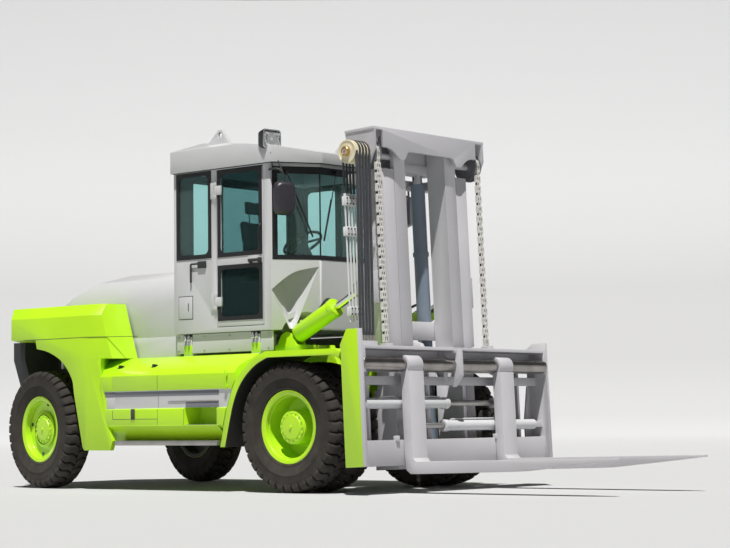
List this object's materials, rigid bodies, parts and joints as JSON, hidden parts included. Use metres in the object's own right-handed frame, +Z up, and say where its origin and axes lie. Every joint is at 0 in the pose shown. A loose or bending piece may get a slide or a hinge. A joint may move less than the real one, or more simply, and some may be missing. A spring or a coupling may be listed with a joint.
{
  "type": "heavy forklift truck",
  "caption": "Heavy counterbalance forklift with enclosed cab, two-stage mast, fork positioner, twin drive tyres and rear steering; the mast, forks, doors, hood and wheels move.",
  "frame": {"origin": "on the floor, under the middle of the whole outline", "axes": "+X forwards to the fork tips, +Y to the truck's left, +Z up"},
  "size_m": [7.7723, 2.826, 3.555],
  "materials": {
    "lime_paint": "gloss lime enamel",
    "grey_paint": "satin light grey enamel",
    "mast_paint": "satin grey enamel",
    "cylinder_paint": "slate enamel",
    "dark_iron": "dark painted cast iron",
    "cast_ballast": "lime painted cast iron",
    "steel": "bare steel",
    "chrome": "hard chrome",
    "tyre_rubber": "matt black rubber",
    "hose_rubber": "black hose",
    "cab_window": "tinted glass",
    "seat_fabric": "dark woven fabric",
    "black_plastic": "black plastic",
    "roller_plastic": "cream nylon"
  },
  "bodies": {
    "chassis": {"chassis_frame": "lime_paint", "front_axle": "dark_iron", "steer_axle": "dark_iron", "counterweight": "cast_ballast", "counterweight_lower": "dark_iron", "engine_cowl": "grey_paint", "engine_block": "dark_iron", "side_tanks": "lime_paint", "step_rails": "steel", "front_fenders": "lime_paint", "cab_shell": "grey_paint", "cab_glass": "cab_window", "cab_roof": "grey_paint", "cab_mounts": "grey_paint", "seat_base": "black_plastic", "seat_cushions": "seat_fabric", "steering_console": "black_plastic", "lamps_and_mirrors": "black_plastic"},
    "front_wheel_right": {"front_rims_right": "lime_paint", "front_tyres_right": "tyre_rubber"},
    "front_wheel_left": {"front_rims_left": "lime_paint", "front_tyres_left": "tyre_rubber"},
    "knuckle_right": {"steer_knuckle_right": "dark_iron"},
    "knuckle_left": {"steer_knuckle_left": "dark_iron"},
    "rear_wheel_right": {"rear_rim_right": "lime_paint", "rear_tyre_right": "tyre_rubber"},
    "rear_wheel_left": {"rear_rim_left": "lime_paint", "rear_tyre_left": "tyre_rubber"},
    "door_right": {"cab_door_right": "grey_paint", "door_glass_right": "cab_window"},
    "door_left": {"cab_door_left": "grey_paint", "door_glass_left": "cab_window"},
    "hood": {"engine_hood": "grey_paint"},
    "mast_outer": {"outer_mast": "mast_paint", "lift_barrels": "cylinder_paint", "mast_pipes": "steel"},
    "mast_inner": {"inner_mast": "mast_paint", "lift_rods": "chrome", "head_rollers": "roller_plastic", "chains_front": "steel", "chains_back": "steel", "hoses_front": "hose_rubber", "hoses_back": "hose_rubber"},
    "carriage": {"carriage_frame": "mast_paint", "fork_shaft": "chrome", "positioner_barrels": "mast_paint"},
    "fork_right": {"fork_right": "mast_paint"},
    "fork_left": {"fork_left": "mast_paint"},
    "tilt_barrel_right": {"tilt_barrel_right": "lime_paint"},
    "tilt_barrel_left": {"tilt_barrel_left": "lime_paint"},
    "tilt_rod_right": {"tilt_rod_right": "chrome"},
    "tilt_rod_left": {"tilt_rod_left": "chrome"}
  },
  "joints": [
    {"name": "front_wheel_right_spin", "type": "hinge", "parent": "chassis", "child": "front_wheel_right", "pos_m": [0.56422, -1.098, 0.613], "axis": [0, 1, 0], "continuous": true},
    {"name": "front_wheel_left_spin", "type": "hinge", "parent": "chassis", "child": "front_wheel_left", "pos_m": [0.56422, 1.098, 0.613], "axis": [0, 1, 0], "continuous": true},
    {"name": "steer_right", "type": "hinge", "parent": "chassis", "child": "knuckle_right", "pos_m": [-2.95778, -0.85, 0.613], "axis": [0, 0, 1], "range_deg": [-47, 63]},
    {"name": "rear_wheel_right_spin", "type": "hinge", "parent": "knuckle_right", "child": "rear_wheel_right", "pos_m": [-2.9916, -1.09064, 0.613], "axis": [0.1392, 0.9903, 0], "continuous": true},
    {"name": "steer_left", "type": "hinge", "parent": "chassis", "child": "knuckle_left", "pos_m": [-2.95778, 0.85, 0.613], "axis": [0, 0, 1], "range_deg": [-47, 63]},
    {"name": "rear_wheel_left_spin", "type": "hinge", "parent": "knuckle_left", "child": "rear_wheel_left", "pos_m": [-2.92397, 1.09064, 0.613], "axis": [0.1392, 0.9903, 0], "continuous": true},
    {"name": "door_right_hinge", "type": "hinge", "parent": "chassis", "child": "door_right", "pos_m": [-0.62879, -0.966, 2.3], "axis": [0, 0, -1], "range_deg": [0, 95]},
    {"name": "door_left_hinge", "type": "hinge", "parent": "chassis", "child": "door_left", "pos_m": [-0.62879, 0.966, 2.3], "axis": [0, 0, 1], "range_deg": [0, 95]},
    {"name": "hood_hinge", "type": "hinge", "parent": "chassis", "child": "hood", "pos_m": [-3.04578, 0, 1.86], "axis": [0, -1, 0], "range_deg": [0, 55]},
    {"name": "mast_tilt", "type": "hinge", "parent": "chassis", "child": "mast_outer", "pos_m": [0.88421, 0, 0.6], "axis": [0, 1, 0], "range_deg": [-7.4, 8.6]},
    {"name": "mast_lift", "type": "slide", "parent": "mast_outer", "child": "mast_inner", "axis": [-0.0454, 0, 0.999], "range_m": [0, 1.5]},
    {"name": "carriage_lift", "type": "slide", "parent": "mast_inner", "child": "carriage", "axis": [-0.0454, 0, 0.999], "range_m": [0, 1.5], "deforming": ["chains_front", "hoses_front"]},
    {"name": "fork_right_slide", "type": "slide", "parent": "carriage", "child": "fork_right", "axis": [0, -1, 0], "range_m": [-0.45, 0.45]},
    {"name": "fork_left_slide", "type": "slide", "parent": "carriage", "child": "fork_left", "axis": [0, 1, 0], "range_m": [-0.45, 0.45]},
    {"name": "tilt_barrel_right_pivot", "type": "hinge", "parent": "chassis", "child": "tilt_barrel_right", "pos_m": [0.14422, -0.7, 1.462], "axis": [0, 1, 0], "range_deg": [-8, 8]},
    {"name": "tilt_rod_right_slide", "type": "slide", "parent": "tilt_barrel_right", "child": "tilt_rod_right", "axis": [0.898, 0, 0.44], "range_m": [-0.22, 0.25]},
    {"name": "tilt_barrel_left_pivot", "type": "hinge", "parent": "chassis", "child": "tilt_barrel_left", "pos_m": [0.14422, 0.7, 1.462], "axis": [0, 1, 0], "range_deg": [-8, 8]},
    {"name": "tilt_rod_left_slide", "type": "slide", "parent": "tilt_barrel_left", "child": "tilt_rod_left", "axis": [0.898, 0, 0.44], "range_m": [-0.22, 0.25]}
  ],
  "couplings": [
    {"joint": "steer_left", "follows": "steer_right", "ratio": 1},
    {"joint": "carriage_lift", "follows": "mast_lift", "ratio": 1},
    {"joint": "tilt_barrel_right_pivot", "follows": "mast_tilt", "ratio": 0.71078},
    {"joint": "tilt_rod_right_slide", "follows": "mast_tilt", "m_per_rad": 1.0956},
    {"joint": "tilt_barrel_left_pivot", "follows": "mast_tilt", "ratio": 0.71078},
    {"joint": "tilt_rod_left_slide", "follows": "mast_tilt", "m_per_rad": 1.0956}
  ]
}
